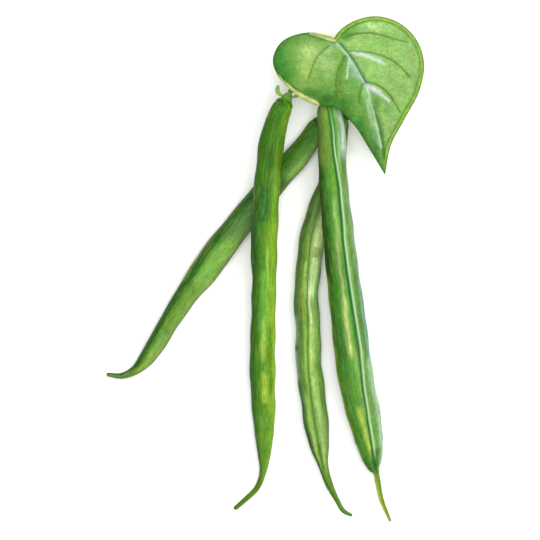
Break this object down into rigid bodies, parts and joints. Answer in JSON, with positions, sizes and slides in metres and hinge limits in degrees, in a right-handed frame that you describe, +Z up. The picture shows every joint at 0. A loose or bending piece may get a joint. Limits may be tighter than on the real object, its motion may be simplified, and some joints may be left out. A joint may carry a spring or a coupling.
{
  "type": "green bean",
  "caption": "Picked cluster of slender green bean pods with thin curled beaks, joined by a short stalk behind a heart-shaped leaf, lying on a flat surface.",
  "frame": {"origin": "bottom centre of the cluster's bounding box, on the surface that it lies on", "axes": "+Z up, away from the surface; the pods run along Y with their beaks towards -Y and the leaf towards +Y"},
  "size_m": [0.1145, 0.182, 0.0221],
  "materials": {
    "pod_skin": "satin",
    "calyx": "matte",
    "stalk": "matte",
    "leaf_blade": "matte"
  },
  "bodies": {
    "root": {"pod_left": "pod_skin", "pod_slanting": "pod_skin", "pod_middle": "pod_skin", "pod_right": "pod_skin", "calyx_left": "calyx", "calyx_slanting": "calyx", "calyx_middle": "calyx", "calyx_right": "calyx", "stalk": "stalk", "leaf_stalk": "stalk", "leaf": "leaf_blade"}
  },
  "joints": []
}
